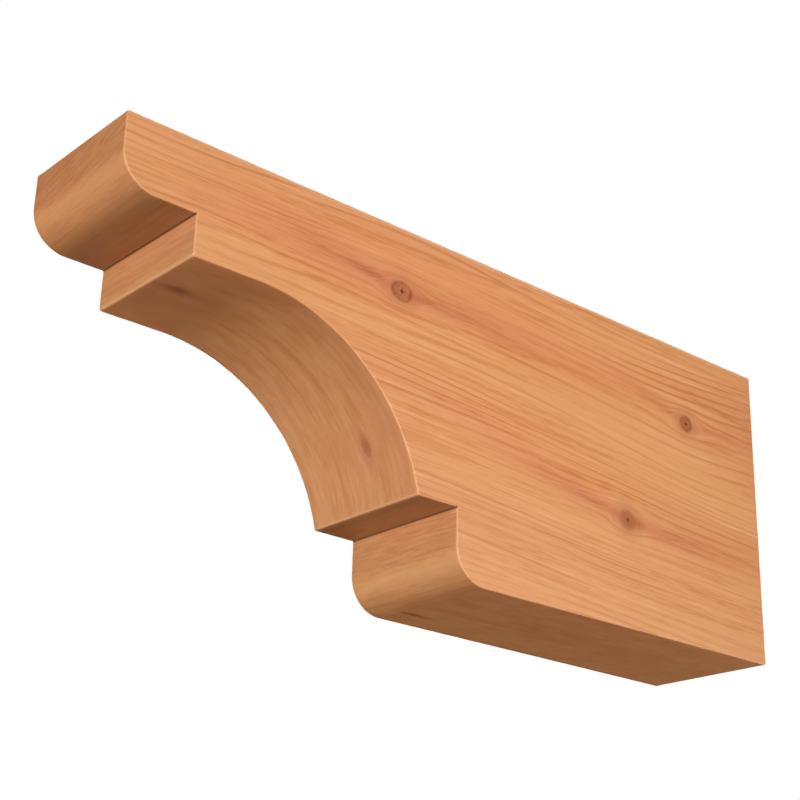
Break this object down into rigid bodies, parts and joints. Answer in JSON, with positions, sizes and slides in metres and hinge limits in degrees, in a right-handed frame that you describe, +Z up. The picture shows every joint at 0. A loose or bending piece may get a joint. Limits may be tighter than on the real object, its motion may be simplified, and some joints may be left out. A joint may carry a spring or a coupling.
{
  "type": "rafter tail",
  "caption": "Solid softwood rafter tail: a straight timber with a rounded nose, fillet, deep cove, ledge and rounded toe cut in its underside, fixed by its square back end.",
  "frame": {"origin": "centre of the square back end, the face that meets the building", "axes": "+Y out of the back end, so the tail runs along -Y to its nose; +X across the width; +Z up, towards the flat top edge"},
  "size_m": [0.14, 0.762, 0.305],
  "materials": {
    "softwood": "sanded and clear-oiled, satin"
  },
  "bodies": {
    "root": {"rafter_tail": "softwood"}
  },
  "joints": []
}
